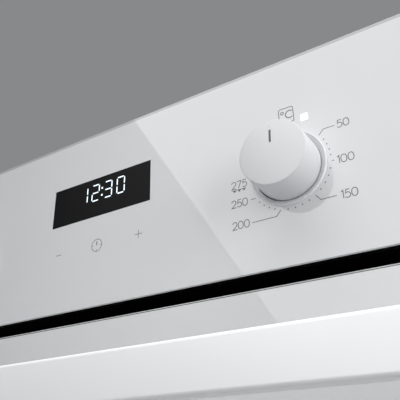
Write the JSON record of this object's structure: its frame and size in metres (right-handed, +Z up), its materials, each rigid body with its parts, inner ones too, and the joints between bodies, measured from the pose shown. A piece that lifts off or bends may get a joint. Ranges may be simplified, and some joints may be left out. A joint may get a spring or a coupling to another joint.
{
  "type": "built-in oven",
  "caption": "Built-in electric oven with a white glass front, drop-down door with bar handle, retractable knobs and a touch clock display.",
  "frame": {"origin": "middle of the underside, in the plane where the side flanges meet the cabinet's front edges", "axes": "+X to the right as one faces the oven, +Y from the door to the rear, +Z up"},
  "size_m": [0.594, 0.6063, 0.594],
  "materials": {
    "casing_sheet": "zinc-coated sheet, dull spangle",
    "enamel": "glossy dark vitreous enamel, speckled",
    "wool": "mineral wool, matt",
    "seal": "braided, matt",
    "heater_tube": "oxidised, dull",
    "rack_chrome": "polished",
    "plated_steel": "plated, satin",
    "ceramic": "matt ceramic",
    "lamp_glass": "clear, ribbed",
    "white_glass": "white back-painted glass, glossy",
    "door_glass": "white-bordered front glass, glossy",
    "clear_glass": "clear",
    "carrier_plastic": "matt",
    "black_plastic": "matt, fine grain",
    "display_black": "smoked, glossy",
    "knob_white": "satin white",
    "white_handle": "white powder coat, satin",
    "door_metal": "satin"
  },
  "bodies": {
    "casing": {"base_panel": "casing_sheet", "left_side_panel": "casing_sheet", "right_side_panel": "casing_sheet", "top_cover": "casing_sheet", "rear_panel": "casing_sheet", "front_frame": "enamel", "cavity_shell": "enamel", "insulation_wrap": "wool", "cavity_gasket": "seal", "fan_cover": "enamel", "ring_heater": "heater_tube", "grill_heater": "heater_tube", "base_heater": "heater_tube", "fan_motor": "plated_steel", "left_shelf_support": "rack_chrome", "right_shelf_support": "rack_chrome", "wire_shelf": "rack_chrome", "baking_tray": "enamel", "lamp_housing": "ceramic", "lamp_lens": "lamp_glass", "temperature_probe": "plated_steel", "control_glass": "white_glass", "panel_carrier": "carrier_plastic", "display_module": "black_plastic", "display_window": "display_black", "touch_board": "black_plastic", "function_bezel": "knob_white", "function_switch": "black_plastic", "function_lamp": "lamp_glass", "temperature_bezel": "knob_white", "thermostat_body": "black_plastic", "temperature_lamp": "lamp_glass", "blower_housing": "plated_steel", "blower_motor": "plated_steel", "air_duct": "plated_steel", "terminal_block": "ceramic", "terminal_cover": "black_plastic", "hinge_arm_left": "plated_steel", "hinge_arm_right": "plated_steel"},
    "door": {"door_outer_glass": "door_glass", "door_middle_glass": "clear_glass", "door_inner_glass": "clear_glass", "door_left_stile": "door_metal", "door_right_stile": "door_metal", "door_top_trim": "door_metal", "door_bottom_rail": "door_metal", "handle_bar": "white_handle", "handle_post_left": "white_handle", "handle_post_right": "white_handle", "door_hinge_left": "plated_steel", "door_hinge_right": "plated_steel"},
    "function_sleeve": {"function_sleeve": "black_plastic"},
    "function_knob": {"function_knob": "knob_white"},
    "function_shaft": {"function_shaft": "plated_steel"},
    "temperature_sleeve": {"temperature_sleeve": "black_plastic"},
    "temperature_knob": {"temperature_knob": "knob_white"},
    "temperature_shaft": {"temperature_shaft": "plated_steel"},
    "convection_fan": {"convection_fan": "plated_steel"},
    "blower_impeller": {"blower_impeller": "black_plastic"}
  },
  "joints": [
    {"name": "door_hinge", "type": "hinge", "parent": "casing", "child": "door", "pos_m": [0, -0.01, 0.013], "axis": [1, 0, 0], "range_deg": [0, 90], "stiffness_Nm_per_rad": 6, "springref_deg": -20.05},
    {"name": "function_knob_push", "type": "slide", "parent": "casing", "child": "function_sleeve", "axis": [0, 1, 0], "range_m": [0, 0.016], "stiffness_N_per_m": 120, "springref_m": -0.004},
    {"name": "function_knob_turn", "type": "hinge", "parent": "function_sleeve", "child": "function_knob", "pos_m": [-0.1128, -0.0398, 0.5331], "axis": [0, 1, 0], "continuous": true},
    {"name": "function_shaft_turn", "type": "hinge", "parent": "casing", "child": "function_shaft", "pos_m": [-0.1128, 0, 0.5331], "axis": [0, 1, 0], "continuous": true},
    {"name": "temperature_knob_push", "type": "slide", "parent": "casing", "child": "temperature_sleeve", "axis": [0, 1, 0], "range_m": [0, 0.016], "stiffness_N_per_m": 120, "springref_m": -0.004},
    {"name": "temperature_knob_turn", "type": "hinge", "parent": "temperature_sleeve", "child": "temperature_knob", "pos_m": [0.1128, -0.0398, 0.5331], "axis": [0, 1, 0], "range_deg": [0, 259]},
    {"name": "temperature_shaft_turn", "type": "hinge", "parent": "casing", "child": "temperature_shaft", "pos_m": [0.1128, 0, 0.5331], "axis": [0, 1, 0], "range_deg": [0, 259]},
    {"name": "convection_fan_spin", "type": "hinge", "parent": "casing", "child": "convection_fan", "pos_m": [0, 0.417, 0.25], "axis": [0, 1, 0], "continuous": true},
    {"name": "blower_spin", "type": "hinge", "parent": "casing", "child": "blower_impeller", "pos_m": [0, 0.33, 0.46], "axis": [0, 0, 1], "continuous": true}
  ],
  "couplings": [
    {"joint": "function_shaft_turn", "follows": "function_knob_turn", "ratio": 1},
    {"joint": "temperature_shaft_turn", "follows": "temperature_knob_turn", "ratio": 1}
  ]
}
